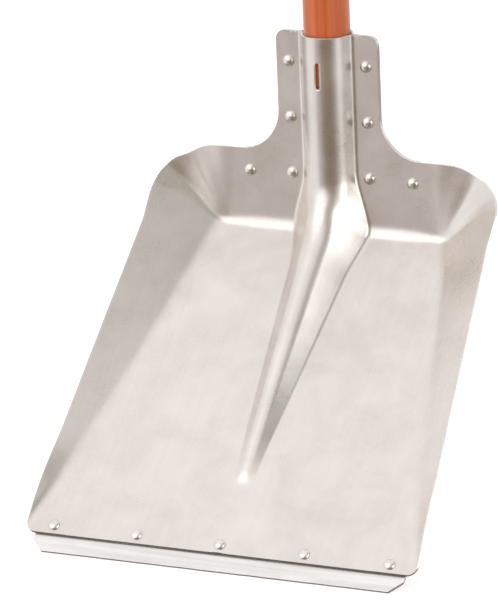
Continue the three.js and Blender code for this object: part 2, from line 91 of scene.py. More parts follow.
SHAFT_R = 19.0
SOCKET_PLAY = 0.5
TUBE_R = SHAFT_R + SOCKET_PLAY + SHEET
AXIS_N = -SHEET - GAP / 2  # the shaft's axis lies between the two sheets
TUBE_H = TUBE_R + AXIS_N
TUBE_FLANK = math.radians(68)  # slope of the half tube's sides over the neck
TUBE_TOP_HALF = TUBE_R * math.tan(TUBE_FLANK / 2)
TUBE_BASE_HALF = TUBE_TOP_HALF + TUBE_H / math.tan(TUBE_FLANK)
TUBE_FULL_S = 52.0

RIB_LENGTH = 248.0
RIB_BASE_REAR = 33.0
RIB_BASE_TIP = 8.0
RIB_TOP_REAR = 8.5
RIB_TOP_TIP = 2.0
RIB_FLARE = 4.0
RIB_FLARE_LENGTH = 45.0
RIB_H_TIP = 1.0
RIB_H_GAIN = 29.0
RIB_FADE = 0.06  # share of its length over which the rib rises from the floor
RIB_FOOT_R = (3.0, 6.0)  # at the tip and at the rear fold
TUBE_FOOT_R = 4.0
BEND_START_Y = -32.0
BEND_CORNER_S = 23.0
BEND_END_S = 45.0

SLOT_S = 133.0
SLOT_LENGTH = 22.0
SLOT_WIDTH = 3.2

BACK_LOBE_HALF = 82.0
BACK_BOTTOM_S = 30.0
BACK_CORNER_R = 10.0
BACK_SHOULDER_R = 5.0
BACK_CLOSE = (40.0, 74.0)  # the rear shell is flat below, a full half tube above

STRIP_T = 2.5
STRIP_OVERHANG = 15.0
STRIP_OVERLAP = 19.0
STRIP_HALF = 161.0
STRIP_END_CUT = 10.0

RIVET_SHANK_R = 2.5
RIVET_HEAD_R = 4.8
RIVET_HEAD_H = 2.8
RIVET_TAIL_R = 4.0
RIVET_TAIL_H = 1.4
NECK_RIVET_X = 34.0
NECK_RIVET_S = {"upper": 139.0, "middle": 92.5, "lower": 46.0}
OUTER_RIVET_X = 72.0
OUTER_RIVET_S = 45.0
EDGE_RIVET_PITCH = 73.0
EDGE_RIVET_Y = -301.0

SCREW_S = 128.0
SCREW_SHANK_R = 2.0
SCREW_LENGTH = 20.0
SCREW_HEAD_R = 4.2
SCREW_HEAD_H = 2.4

# ---- Frames ----
COS = math.cos(LIFT)
SIN = math.sin(LIFT)
REAR_SLOPE = math.tan(LIFT)
FRONT_Y = -PAN_LENGTH
SHOULDER_Y = SHOULDER_S * COS
NECK_START_S = SHOULDER_S + NECK_FILLET_R

shaft_low, shaft_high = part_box("handle_shaft")
blade_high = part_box("blade")[1]
NECK_Y = (shaft_low.y + shaft_high.y) / 2 + AXIS_N * MM  # row y of the neck's front face
FOLD_Z = blade_high.z - NECK_TOP * MM  # row z of the rear fold
SHAFT_START = (shaft_low.z - FOLD_Z) / MM
SHAFT_END = (shaft_high.z - FOLD_Z) / MM


def neck_to_row(x, s, n):
    return np.stack(np.broadcast_arrays(x * MM, NECK_Y - n * MM, FOLD_Z + s * MM), axis=-1)


def pan_to_row(x, y, z):
    return neck_to_row(x, y * COS + z * SIN, z * COS - y * SIN)


NECK_NORMAL = Vector((0, -1, 0))
FLOOR_NORMAL = Vector((0, -COS, SIN))


# ---- Numeric helpers ----
def lerp(a, b, t):
    return a + (b - a) * t


def smooth(t):
    """Rises from 0 to 1 with t, level at both ends."""
    t = np.clip(t, 0.0, 1.0)
    return t * t * (3 - 2 * t)


def ramp_up(value, places):
    """0 at the first place, 1 at the second, smooth between them."""
    start, end = places
    return smooth((value - start) / (end - start))


def corner_inset(radius, distance):
    """How far a rounded corner stands in, at a distance past the start of its arc."""
    return radius - math.sqrt(max(0.0, radius**2 - max(0.0, distance) ** 2))


def join(*pieces):
    """Joins runs of numbers whose ends meet, keeping each shared end once."""
    return np.concatenate([pieces[0]] + [np.asarray(p)[1:] for p in pieces[1:]])


# ---- Pan surface ----
def fold_bow(y):
    return FOLD_BOW * (1 - (2 * np.clip(-y / PAN_LENGTH, 0, 1) ** FOLD_BOW_POWER - 1) ** 2)


def floor_half(y):
    return FOLD_REAR_HALF - FOLD_FLARE * y - fold_bow(y)


def edge_half(y):
    return PAN_REAR_HALF - (PAN_FRONT_HALF - PAN_REAR_HALF) * y / (PAN_LENGTH - FRONT_CORNER_R)


def side_slope(y):
    """The bow leaves the outer edge at its height, so the wall is flatter where it is wider."""
    bowed = 1 - fold_bow(y) / (edge_half(y) - floor_half(y) + FOLD_BOW_MARGIN)
    return SIDE_SLOPE * bowed * (1 + FRONT_STEEPER * ramp_up(y, FRONT_STEEPER_Y))


RIPPLE_HEIGHT = 0.5  # pressing folds that fan out of the rear corners
RIPPLE_COUNT = 15
RIPPLE_FADE = 25.0  # height over which they grow
RIPPLE_TWIST = 0.02  # phase that they gain per millimetre of x, so they aren't quite straight
WAVE_HEIGHT = 0.12  # the thin floor isn't quite flat
WAVE_FRONT_FADE = 40.0
WAVE_RIB_FADE = (30.0, 60.0)
WAVES = ((83.0, 0.4, 131.0, 1.1), (47.0, 2.0, 203.0, 0.2))  # length and phase along x, then along y


def rounded(u, blend):
    """A ramp that starts at 0 as a parabola and goes on as u - blend."""
    return np.where(u < 2 * blend, u * u / (4 * blend), u - blend)


def rear_softness(x, y):
    """What the rounder rear fold adds to the height, away from the corners."""
    fold = np.maximum(0.0, REAR_SLOPE * y + REAR_BLEND)
    tight = np.maximum(0.0, fold - REAR_BLEND + BLEND)
    return (rounded(fold, REAR_BLEND) - rounded(tight, BLEND)) * (1 - ramp_up(x, REAR_BLEND_X))


def pan_height(x, y):
    """Height of the sheet over the floor in its right half, with the cone in the rear corner."""
    sweep = REAR_SWEEP * smooth((x - REAR_FLAT_HALF) / REAR_SWEEP_WIDTH)
    side = np.maximum(0.0, side_slope(y) * (x - floor_half(y)) + BLEND)
    rear = np.maximum(0.0, REAR_SLOPE * (y - sweep) + BLEND)
    u = np.hypot(side, rear)
    turn = np.arctan2(rear, side)
    fan = smooth((u - 2 * BLEND) / RIPPLE_FADE) * np.sin(2 * turn) ** 2
    height = rounded(u, BLEND) + rear_softness(x, y)
    height = height + RIPPLE_HEIGHT * fan * np.cos(RIPPLE_COUNT * turn + RIPPLE_TWIST * x)
    on_floor = 1 - smooth(u / BLEND)
    on_floor = on_floor * smooth((y - FRONT_Y) / WAVE_FRONT_FADE) * ramp_up(x, WAVE_RIB_FADE)
    for length_x, phase_x, length_y, phase_y in WAVES:
        wave = np.sin(x / length_x * math.pi + phase_x) * np.sin(y / length_y * math.pi + phase_y)
        height = height + WAVE_HEIGHT * on_floor * wave
    return height


def rib_share(y):
    return min(1.0, max(0.0, (y + RIB_LENGTH) / RIB_LENGTH))


def crest_height(y):
    t = rib_share(y)
    return (RIB_H_TIP + RIB_H_GAIN * t) * float(smooth(t / RIB_FADE))


def neck_point(s, n):
    return np.array([s * COS - n * SIN, s * SIN + n * COS])


BEND = (
    np.array([BEND_START_Y, crest_height(BEND_START_Y)]),
    neck_point(BEND_CORNER_S, TUBE_H),
    neck_point(BEND_END_S, TUBE_H),
)
BEND_END_Y = BEND_END_S * COS


def bend_crest(t):
    return (1 - t) ** 2 * BEND[0] + 2 * t * (1 - t) * BEND[1] + t * t * BEND[2]


def rib_section(base_half, top_half, height, foot_r, foot_steps=7, arc_steps=18):
    """Half of a raised section, foot first, as x and height."""
    flank = math.atan2(height, base_half - top_half)
    top_r = top_half / math.tan(flank / 2)
    foot_x = base_half + foot_r * math.tan(flank / 2)
    a = np.linspace(0, flank, foot_steps + 1)
    b = np.linspace(flank, 0, arc_steps + 1)
    foot = np.stack([foot_x - foot_r * np.sin(a), foot_r * (1 - np.cos(a))], axis=1)
    crown = np.stack([top_r * np.sin(b), height - top_r * (1 - np.cos(b))], axis=1)
    flank_x = lerp(foot[-1], crown[0], 0.5)[None]
    return np.concatenate([foot, flank_x, crown])


# Shares of the rear outline's rows at which its stretches end.
OUTLINE_SIDE = 0.1
OUTLINE_CORNER = 0.6
OUTLINE_SHOULDER = 0.7


def rear_outline(t):
    """The outline from the side wall, round the shoulder and up the neck fillet, as pan x and y."""
    if t < OUTLINE_SIDE:
        y = lerp(BEND_START_Y, SHOULDER_DROP_Y, t / OUTLINE_SIDE)
        return edge_half(y), y
    if t < OUTLINE_CORNER:
        a = math.pi / 2 * (t - OUTLINE_SIDE) / (OUTLINE_CORNER - OUTLINE_SIDE)
        bulge = SHOULDER_BULGE * math.sin(2 * a) ** 2
        x = lerp(SHOULDER_OUTER, edge_half(SHOULDER_DROP_Y), math.cos(a)) + bulge
        return x, lerp(SHOULDER_DROP_Y, SHOULDER_Y, math.sin(a))
    if t < OUTLINE_SHOULDER:
        share = (t - OUTLINE_CORNER) / (OUTLINE_SHOULDER - OUTLINE_CORNER)
        return lerp(SHOULDER_OUTER, SHOULDER_INNER, share), SHOULDER_Y
    a = math.pi / 2 * (t - OUTLINE_SHOULDER) / (1 - OUTLINE_SHOULDER)
    x = SHOULDER_INNER - NECK_FILLET_R * math.sin(a)
    return x, SHOULDER_Y + NECK_FILLET_R * (1 - math.cos(a)) * COS


def pan_section(y):
    """Half the rib's base, half its top and the radius of its foot."""
    t = rib_share(y)
    flare = RIB_FLARE * float(smooth((y + RIB_FLARE_LENGTH) / RIB_FLARE_LENGTH))
    base = lerp(RIB_BASE_TIP, RIB_BASE_REAR - RIB_FLARE, t) + flare
    return base, lerp(RIB_TOP_TIP, RIB_TOP_REAR, t), lerp(*RIB_FOOT_R, t)


def neck_section(s):
    """The same three for the rib's run into the half tube."""
    t = float(smooth(s / TUBE_FULL_S))
    base = lerp(RIB_BASE_REAR, TUBE_BASE_HALF, t)
    return base, lerp(RIB_TOP_REAR, TUBE_TOP_HALF, t), lerp(RIB_FOOT_R[1], TUBE_FOOT_R, t)


# A row holds the points under and on the crest, as pan y and z, the raised section, the outline's end
# as pan x and y, and how far the columns follow the side fold rather than being even.
def pan_row(y):
    cut = corner_inset(FRONT_CORNER_R, FRONT_Y + FRONT_CORNER_R - y)
    outline = (edge_half(max(y, FRONT_Y + FRONT_CORNER_R)) - cut, y)
    return np.array([y, 0.0]), np.array([y, crest_height(y)]), pan_section(y), outline, 1.0


def bend_row(t):
    y = lerp(BEND_START_Y, NECK_START_S * COS, t)
    s = y / COS
    bend = (y - BEND_START_Y) / (BEND_END_Y - BEND_START_Y)
    crest = bend_crest(bend) if bend < 1 else neck_point(s, TUBE_H)
    section = pan_section(y) if s < 0 else neck_section(s)
    base = np.array([y, float(pan_height(0.0, y))])
    return base, crest, section, rear_outline(t), 1 - float(smooth(t / OUTLINE_SHOULDER))


def neck_row(s):
    cut = corner_inset(NECK_CORNER_R, s - NECK_TOP + NECK_CORNER_R)
    return neck_point(s, 0), neck_point(s, TUBE_H), neck_section(s), (NECK_HALF - cut, s * COS), 0.0


WALL_COLUMNS = 14
FOLD_COLUMNS = 12
FLOOR_COLUMNS = 12
LEAST_STEP = 1.0  # between two columns, so that none crosses the next
LEAST_RISE = 0.5  # a lower rib is a section of this height pressed flat


def row_points(row):
    """One row of the pan, left to right, in the row frame."""
    base, crest, section, outline, fold = row
    rise = float(np.hypot(*(crest - base)))
    up = (crest - base) / rise if rise > 0 else np.array([0.0, 1.0])
    # The raised middle stands on the base and points at the crest.
    base_half, top_half, foot_r = section
    full = max(rise, LEAST_RISE)
    raised = rib_section(base_half, top_half, full, foot_r)
    lift = raised[:, 1] * rise / full
    raised = np.stack([raised[:, 0], base[0] + up[0] * lift, base[1] + up[1] * lift], axis=1)
    foot_x, foot_y = raised[0, 0], raised[0, 1]
    # From there a straight line, seen from above, runs to the outline and crosses the side fold.
    out_x, out_y = outline
    slant = (out_y - foot_y) / (out_x - foot_x)
    fold_x = (floor_half(foot_y) + FOLD_FLARE * slant * foot_x) / (1 + FOLD_FLARE * slant)
    fold_w = BLEND / SIDE_SLOPE
    aligned = join(
        np.linspace(out_x, fold_x + fold_w, WALL_COLUMNS + 1),
        np.linspace(fold_x + fold_w, fold_x - fold_w, FOLD_COLUMNS + 1),
        np.linspace(fold_x - fold_w, foot_x, FLOOR_COLUMNS + 1),
    )[:-1]
    steps = np.arange(len(aligned))
    even = lerp(out_x, foot_x, steps / len(aligned))
    x = lerp(even, np.minimum(aligned, out_x - LEAST_STEP * steps), fold)
    y = foot_y + (x - foot_x) * slant
    flat = np.stack([x, y, pan_height(x, y)], axis=1)
    # The left half mirrors the right one.
    right = np.concatenate([flat, raised])
    left = right * (-1, 1, 1)
    row = np.concatenate([left, right[-2::-1]])
    return pan_to_row(row[:, 0], row[:, 1], row[:, 2])


# ---- Sheet metal from a grid ----
RIM_STEPS = 3


def sheet_object(name, grid, thickness):
    """A closed sheet under a grid of points, with rounded edges. The grid's normals point out of it."""
    across = np.gradient(grid, axis=1)
    along = np.gradient(grid, axis=0)
    normals = np.cross(across, along)
    normals /= np.linalg.norm(normals, axis=2, keepdims=True)
    height, width = grid.shape[:2]
    ring = (
        [(0, i) for i in range(width - 1)]
        + [(j, width - 1) for j in range(height - 1)]
        + [(height - 1, i) for i in range(width - 1, 0, -1)]
        + [(j, 0) for j in range(height - 1, 0, -1)]
    )
    rim_j = [j for j, i in ring]
    rim_i = [i for j, i in ring]
    edge = grid[rim_j, rim_i]
    normal = normals[rim_j, rim_i]
    tangent = np.roll(edge, -1, axis=0) - np.roll(edge, 1, axis=0)
    outward = np.cross(tangent, normal)
    outward /= np.linalg.norm(outward, axis=1, keepdims=True)
    r = EDGE_ROUND * MM
    t = thickness * MM
    top = grid.copy()
    top[rim_j, rim_i] = edge - outward * r
    under = grid - normals * t
    under[rim_j, rim_i] -= outward * r
    loops = []
    for k in range(1, RIM_STEPS + 1):
        a = math.pi / 2 * k / RIM_STEPS
        loops.append(edge + outward * r * (math.sin(a) - 1) + normal * r * (math.cos(a) - 1))
    for k in range(RIM_STEPS, 0, -1):
        a = math.pi / 2 * k / RIM_STEPS
        loops.append(edge + outward * r * (math.sin(a) - 1) - normal * (t + r * (math.cos(a) - 1)))
    verts = np.concatenate([top.reshape(-1, 3), under.reshape(-1, 3)] + loops)
    size = height * width
    at = np.arange(size).reshape(height, width)
    upper = np.stack([at[:-1, :-1], at[:-1, 1:], at[1:, 1:], at[1:, :-1]], axis=-1).reshape(-1, 4)
    lower = upper[:, ::-1] + size
    count = len(ring)
    chain = [at[rim_j, rim_i]] + [2 * size + k * count + np.arange(count) for k in range(len(loops))]
    chain.append(at[rim_j, rim_i] + size)
    rim = []
    for inner, outer in zip(chain, chain[1:]):
        rim.append(np.stack([np.roll(inner, -1), inner, outer, np.roll(outer, -1)], axis=1))
    faces = np.concatenate([upper, lower] + rim)
    return mesh_object(name, verts, faces)


def mesh_object(name, verts, faces):
    mesh = bpy.data.meshes.new(name)
    mesh.from_pydata(np.asarray(verts).tolist(), [], [list(map(int, f)) for f in faces])
    mesh.shade_smooth()
    obj = bpy.data.objects.new(name, mesh)
    bpy.context.scene.collection.objects.link(obj)
    return obj


def weigh_normals(obj):
    """Keeps broad faces flat next to the narrow faces of a rounded edge."""
    modifier = obj.modifiers.new("Weighted normals", "WEIGHTED_NORMAL")
    modifier.weight = 80
    modifier.keep_sharp = True


def apply_modifiers(obj):
    evaluated = obj.evaluated_get(bpy.context.evaluated_depsgraph_get())
    mesh = bpy.data.meshes.new_from_object(evaluated)
    obj.modifiers.clear()
    obj.data = mesh


def cut_with(obj, cutter):
    """Subtracts cutter from obj and deletes it."""
    modifier = obj.modifiers.new("Cut", "BOOLEAN")
    modifier.operation = "DIFFERENCE"
    modifier.solver = "EXACT"
    modifier.object = cutter
    apply_modifiers(obj)
    bpy.data.objects.remove(cutter)


# Rows across a rounded corner, as shares of its radius from the straight end.
CORNER_ROWS = 1 - np.cos(np.radians([0, 18, 34, 48, 61, 74, 90]))


# ---- Blade ----
FRONT_ROWS = 12
TIP_ROWS = 11
RIB_ROWS = 40
BEND_ROWS = 130
NECK_ROWS = 24


def blade_object():
    neck_straight = NECK_TOP - NECK_CORNER_R
    tip_end = -RIB_LENGTH * (1 - RIB_FADE)
    ys = join(
        FRONT_Y + FRONT_CORNER_R * CORNER_ROWS,
        np.linspace(FRONT_Y + FRONT_CORNER_R, -RIB_LENGTH, FRONT_ROWS),
        np.linspace(-RIB_LENGTH, tip_end, TIP_ROWS),
        np.linspace(tip_end, BEND_START_Y, RIB_ROWS),
    )
    rows = [pan_row(y) for y in ys]
    rows += [bend_row(t) for t in np.linspace(0, 1, BEND_ROWS)[1:]]
    rows += [neck_row(s) for s in np.linspace(NECK_START_S, neck_straight, NECK_ROWS)[1:]]
    rows += [neck_row(s) for s in neck_straight + NECK_CORNER_R * (1 - CORNER_ROWS[-2::-1])]
    blade = sheet_object("pressed_pan", np.array([row_points(row) for row in rows]), SHEET)
    cut_with(blade, slot_cutter())
    weigh_normals(blade)
    return blade


SLOT_END_POINTS = 17


def slot_cutter():
    """A slot with round ends, from half to one and a half times the half tube's height."""
    end_r = SLOT_WIDTH / 2
    straight = SLOT_LENGTH / 2 - end_r
    a = np.linspace(0, math.pi, SLOT_END_POINTS)
    x = np.concatenate([end_r * np.cos(a), -end_r * np.cos(a)])
    s = SLOT_S + np.concatenate([straight + end_r * np.sin(a), -straight - end_r * np.sin(a)])
    count = len(x)
    verts = np.concatenate([neck_to_row(x, s, TUBE_H / 2), neck_to_row(x, s, TUBE_H * 1.5)])
    ring = np.arange(count)
    sides = [[i, (i + 1) % count, (i + 1) % count + count, i + count] for i in ring]
    return mesh_object("slot_cutter", verts, sides + [list(ring[::-1]), list(ring + count)])


# ---- Rear socket shell ----
def back_half_width(s):
    if s >= NECK_START_S:
        return NECK_HALF - corner_inset(NECK_CORNER_R, s - NECK_TOP + NECK_CORNER_R)
    if s > SHOULDER_S:
        return SHOULDER_INNER - math.sqrt(NECK_FILLET_R**2 - (NECK_START_S - s) ** 2)
    bottom = corner_inset(BACK_CORNER_R, BACK_BOTTOM_S + BACK_CORNER_R - s)
    top = corner_inset(BACK_SHOULDER_R, s - SHOULDER_S + BACK_SHOULDER_R)
    return BACK_LOBE_HALF - bottom - top


BACK_ROWS = 20  # rows along each straight stretch of the rear shell
BACK_COLUMNS = 16
FILLET_ROWS = 34
FILLET_TURN = math.radians(85.5)  # stops short of 90 degrees, where the outline turns level


def back_object():
    fillet = np.linspace(0, FILLET_TURN, FILLET_ROWS)
    heights = join(
        NECK_TOP - NECK_CORNER_R * CORNER_ROWS,
        np.linspace(NECK_TOP - NECK_CORNER_R, NECK_START_S, BACK_ROWS),
        NECK_START_S - NECK_FILLET_R * np.sin(fillet),
        SHOULDER_S - BACK_SHOULDER_R * CORNER_ROWS[1:],
        np.linspace(SHOULDER_S - BACK_SHOULDER_R, BACK_BOTTOM_S + BACK_CORNER_R, BACK_ROWS),
        BACK_BOTTOM_S + BACK_CORNER_R * (1 - CORNER_ROWS[::-1]),
    )
    heights = np.array(sorted(set(np.round(heights, 4)), reverse=True))
    section = rib_section(TUBE_BASE_HALF, TUBE_TOP_HALF, TUBE_H, TUBE_FOOT_R)
    even = np.linspace(section[0, 0], 0, len(section))
    rows = []
    for s in heights:
        opening = float(ramp_up(s, BACK_CLOSE))
        raised = np.stack([lerp(even, section[:, 0], opening), section[:, 1] * opening], axis=1)
        x = np.linspace(back_half_width(s), raised[0, 0], BACK_COLUMNS)[:-1]
        right = np.concatenate([np.stack([x, np.zeros_like(x)], axis=1), raised])
        row = np.concatenate([right * (-1, 1), right[-2::-1]])
        rows.append(neck_to_row(row[:, 0], s, 2 * AXIS_N - row[:, 1]))
    shell = sheet_object("rear_shell", np.array(rows), SHEET)
    weigh_normals(shell)
    return shell


# ---- Turned pieces ----
UPRIGHT = 0.99  # to_track_quat can't keep Z up for an axis along Z


def turned_object(name, profile, origin, axis, segments=48, wobble=None):
    """A closed turned piece: profile is (radius, height) in mm along axis, from and to radius 0."""
    if abs(axis.z) > UPRIGHT:
        turn = Matrix.Rotation(math.pi / 2, 3, "X")
    else:
        turn = axis.to_track_quat("Y", "Z").to_matrix()
    place = Matrix.Translation(Vector(origin)) @ turn.to_4x4()
    angles = np.linspace(0, 2 * math.pi, segments, endpoint=False)
    verts = [place @ Vector((0, profile[0][1] * MM, 0))]
    for r, h in profile[1:-1]:
        for a in angles:
            local_r = r + (wobble(a, h) if wobble else 0.0)
            verts.append(place @ (Vector((local_r * math.cos(a), h, -local_r * math.sin(a))) * MM))
    verts.append(place @ Vector((0, profile[-1][1] * MM, 0)))
    rings = len(profile) - 2
    last = len(verts) - 1
    faces = []
    for i in range(segments):
        j = (i + 1) % segments
        faces.append([0, 1 + j, 1 + i])
        for k in range(rings - 1):
            low = 1 + k * segments
            faces.append([low + i, low + j, low + segments + j, low + segments + i])
        top = 1 + (rings - 1) * segments
        faces.append([last, top + i, top + j])
    return mesh_object(name, [tuple(v) for v in verts], faces)


def dome(radius, height, base, steps=10):
    """Half outline of a dome that stands on the height base, edge first and radius 0 last."""
    turns = np.linspace(0, math.pi / 2, steps + 1)[:-1]
    return [(radius * math.cos(a), base + height * math.sin(a)) for a in turns] + [(0.0, base + height)]


RIVET_SEAT = 0.02  # a head sits this close over the sheet
RIVET_RIM = 0.4  # a head's edge reaches this high before it rounds over
RIVET_CHAMFER = (0.25, 0.22)  # by which a head's foot is slimmer, and the height where its edge starts
RIVET_TAIL_RIM = 0.25
RIVET_TAIL_CHAMFER = 0.2


def rivet_object(name, stack, origin, axis):
    tail_y = -stack - GAP
    tail_dome = dome(RIVET_TAIL_R, RIVET_TAIL_H, RIVET_TAIL_RIM, steps=8)
    tail = [(r, tail_y - h) for r, h in reversed(tail_dome)]
    tail_foot = [(RIVET_TAIL_R - RIVET_TAIL_CHAMFER, tail_y)]
    shank = [(RIVET_SHANK_R, tail_y), (RIVET_SHANK_R, RIVET_SEAT)]
    chamfer, chamfer_top = RIVET_CHAMFER
    head_foot = [(RIVET_HEAD_R - chamfer, RIVET_SEAT), (RIVET_HEAD_R, chamfer_top)]
    head = dome(RIVET_HEAD_R, RIVET_HEAD_H + GAP - RIVET_RIM, RIVET_RIM, steps=14)
    profile = tail + tail_foot + shank + head_foot + head
    rivet = turned_object(name, profile, origin, axis)
    weigh_normals(rivet)
    return rivet


SCREW_HEAD_RIM = 0.4
SCREW_HEAD_CHAMFER = 0.3
SCREW_POINT = 2.5
SCREW_POINT_STEP = 0.1  # by which the point's foot is slimmer than the core
THREAD_RUN_OUT = 3.0  # the thread ends at least this far before the tip
THREAD_PITCH = 2.0
THREAD_DEPTH = 0.4
THREAD_CREST = 0.35  # share of a turn at which the thread is full
THREAD_END = 0.7  # share of a turn at which it is down at the core again
RECESS_HALF = 2.4  # the cross recess in the head
RECESS_HALF_WIDTH = 0.5
RECESS_FLOOR = 1.1  # height of its floor over the head's underside


def screw_object():
    head_y = -TUBE_R - GAP
    tip_y = SCREW_LENGTH - TUBE_R
    head_dome = dome(SCREW_HEAD_R, SCREW_HEAD_H - SCREW_HEAD_RIM, SCREW_HEAD_RIM)
    profile = [(r, head_y - h) for r, h in reversed(head_dome)]
    profile += [(SCREW_HEAD_R - SCREW_HEAD_CHAMFER, head_y), (SCREW_SHANK_R, head_y)]
    thread_start = head_y + THREAD_PITCH
    core_r = SCREW_SHANK_R - THREAD_DEPTH
    for k in range(int((tip_y - THREAD_RUN_OUT - thread_start) / THREAD_PITCH)):
        low = thread_start + k * THREAD_PITCH
        crest = low + THREAD_CREST * THREAD_PITCH
        profile += [(core_r, low), (SCREW_SHANK_R, crest), (core_r, low + THREAD_END * THREAD_PITCH)]
    profile += [(core_r - SCREW_POINT_STEP, tip_y - SCREW_POINT), (0.0, tip_y)]
    screw = turned_object("rear_screw", profile, neck_to_row(0.0, SCREW_S, AXIS_N), NECK_NORMAL)
    for x_half, s_half in ((RECESS_HALF, RECESS_HALF_WIDTH), (RECESS_HALF_WIDTH, RECESS_HALF)):
        heights = (SCREW_S - s_half, SCREW_S + s_half)
        cut_with(screw, block("recess", (-x_half, x_half), heights, head_y - RECESS_FLOOR))
    weigh_normals(screw)
    return screw


CUTTER_DEPTH = 4.0


def block(name, xs, ss, top_y):
    """A box-shaped cutter between the given x and s, from top_y backwards from the shaft's axis."""
    corners = [(x, s, AXIS_N + y) for y in (top_y - CUTTER_DEPTH, top_y) for s in ss for x in xs]
    verts = [neck_to_row(*c) for c in corners]
    faces = [[0, 1, 3, 2], [4, 6, 7, 5], [0, 4, 5, 1], [2, 3, 7, 6], [0, 2, 6, 4], [1, 5, 7, 3]]
    obj = mesh_object(name, verts, faces)
    bm = bmesh.new()
    bm.from_mesh(obj.data)
    bmesh.ops.recalc_face_normals(bm, faces=bm.faces)
    bm.to_mesh(obj.data)
    bm.free()
    return obj


SHAFT_ROWS = 120
SHAFT_END_FLAT_R = 10.0
SHAFT_END_ROWS = 12
SHAFT_CHAMFER = 2.0
SHAFT_FOOT_ROUND = (0.2, 0.1)  # inwards and upwards, where the chamfer meets the lower end
SHAFT_OUT_OF_ROUND = 0.06
OUT_OF_ROUND_FADE = 60.0  # the shaft is truly round in the socket and at its upper end
ROUND_PAST_SOCKET = 5.0
ROUND_BELOW_END = 20.0
LOBE_LENGTHS = (90.0, 61.0)  # along which the phase of its two and its three lobes gains one radian


def shaft_object():
    end_round = SHAFT_R - SHAFT_END_FLAT_R
    chamfer_r = SHAFT_R - SHAFT_CHAMFER
    inwards, upwards = SHAFT_FOOT_ROUND
    foot = [(chamfer_r - inwards, SHAFT_START), (chamfer_r, SHAFT_START + upwards)]
    heights = np.linspace(SHAFT_START + SHAFT_CHAMFER, SHAFT_END - end_round, SHAFT_ROWS)
    body = [(SHAFT_R, s) for s in heights]
    rounding = [
        (SHAFT_END_FLAT_R + end_round * math.cos(a), SHAFT_END - end_round * (1 - math.sin(a)))
        for a in np.linspace(0, math.pi / 2, SHAFT_END_ROWS)[1:]
    ]
    top = [(SHAFT_END_FLAT_R / 2, SHAFT_END), (0.0, SHAFT_END)]

    def wobble(angle, s):
        past_socket = float(smooth((s - NECK_TOP - ROUND_PAST_SOCKET) / OUT_OF_ROUND_FADE))
        below_end = float(smooth((SHAFT_END - ROUND_BELOW_END - s) / OUT_OF_ROUND_FADE))
        two, three = LOBE_LENGTHS
        lobes = math.sin(2 * angle + s / two) + math.sin(3 * angle - s / three)
        return past_socket * below_end * SHAFT_OUT_OF_ROUND * lobes

    profile = [(0.0, SHAFT_START)] + foot + body + rounding + top
    origin = neck_to_row(0.0, 0.0, AXIS_N)
    return turned_object("wooden_shaft", profile, origin, Vector((0, 0, 1)), 96, wobble)


# ---- Wear strip ----
STRIP_WEAR = 0.18  # depth to which the working edge is worn, unevenly
STRIP_WEAR_FADE = 12.0
STRIP_WEAR_WAVES = (23.0, 9.1)  # the wear is a long wave times a short one, in mm per radian
STRIP_COLUMNS = 90
STRIP_EDGE_ROUND = 0.5


def strip_object():
    rear = FRONT_Y + STRIP_OVERLAP
    tip = FRONT_Y - STRIP_OVERHANG
    cut = tip + STRIP_END_CUT
    inner = STRIP_HALF - STRIP_END_CUT
    front_x = np.linspace(-inner, inner, STRIP_COLUMNS)
    wear = STRIP_WEAR * smooth((inner - np.abs(front_x)) / STRIP_WEAR_FADE)
    long, short = STRIP_WEAR_WAVES
    worn = wear * np.sin(front_x / long) * np.sin(front_x / short + 1)
    front = list(zip(front_x, tip + np.abs(worn)))
    left_end = [(-STRIP_HALF, rear), (-STRIP_HALF, cut)]
    right_end = [(STRIP_HALF, cut), (STRIP_HALF, rear)]
    outline = left_end + front + right_end
    top_z = -SHEET - GAP
    verts = [pan_to_row(x, y, z) for z in (top_z, top_z - STRIP_T) for x, y in outline]
    count = len(outline)
    ring = list(range(count))
    sides = [[i, i + count, (i + 1) % count + count, (i + 1) % count] for i in ring]
    strip = mesh_object("steel_strip", verts, sides + [ring, [i + count for i in reversed(ring)]])
    bevel = strip.modifiers.new("Worn edges", "BEVEL")
    bevel.width = STRIP_EDGE_ROUND * MM
    bevel.segments = 3
    bevel.limit_method = "ANGLE"
    bevel.angle_limit = math.radians(40)
    apply_modifiers(strip)
    strip.data.shade_smooth()
    weigh_normals(strip)
    return strip


# ---- Materials ----
ALUMINIUM_DULL = (0.76, 0.72, 0.69)
ALUMINIUM = (0.82, 0.785, 0.76)
ALUMINIUM_BRIGHT = (0.85, 0.82, 0.795)
SMUDGE = (0.66, 0.62, 0.59)
ROLLING_LINE = (0.6, 0.57, 0.55)
# painted shade: the dark line where the pan's front edge overhangs the steel strip
PAINTED_SHADE_DARK = (0.10, 0.085, 0.075)
RIVET_DULL = (0.78, 0.75, 0.72)
RIVET_BRIGHT = (0.90, 0.88, 0.86)
STEEL_DULL = (0.78, 0.77, 0.76)
STEEL_BRIGHT = (0.93, 0.92, 0.91)
STEEL_STAIN = (0.62, 0.59, 0.56)
WOOD_DARK = (0.32, 0.045, 0.003)
WOOD = (0.43, 0.073, 0.005)
WOOD_LIGHT = (0.53, 0.112, 0.010)
WOOD_BAND = (0.48, 0.092, 0.007)
WOOD_PORE = (0.30, 0.06, 0.015)
ZINC_DULL = (0.60, 0.60, 0.58)
ZINC_BRIGHT = (0.76, 0.77, 0.78)

PAN_TURN = LIFT - math.pi / 2  # about X, turns object coordinates so that Y runs along the pan
EDGE_SHADE_DEPTHS = (0.2, 0.6)  # depths up to which the pan's front edge is darkened fully with painted shade, and past which it isn't
MIX_FACTOR, MIX_A, MIX_B, MIX_RESULT = 0, 6, 7, 2  # a colour Mix node's sockets


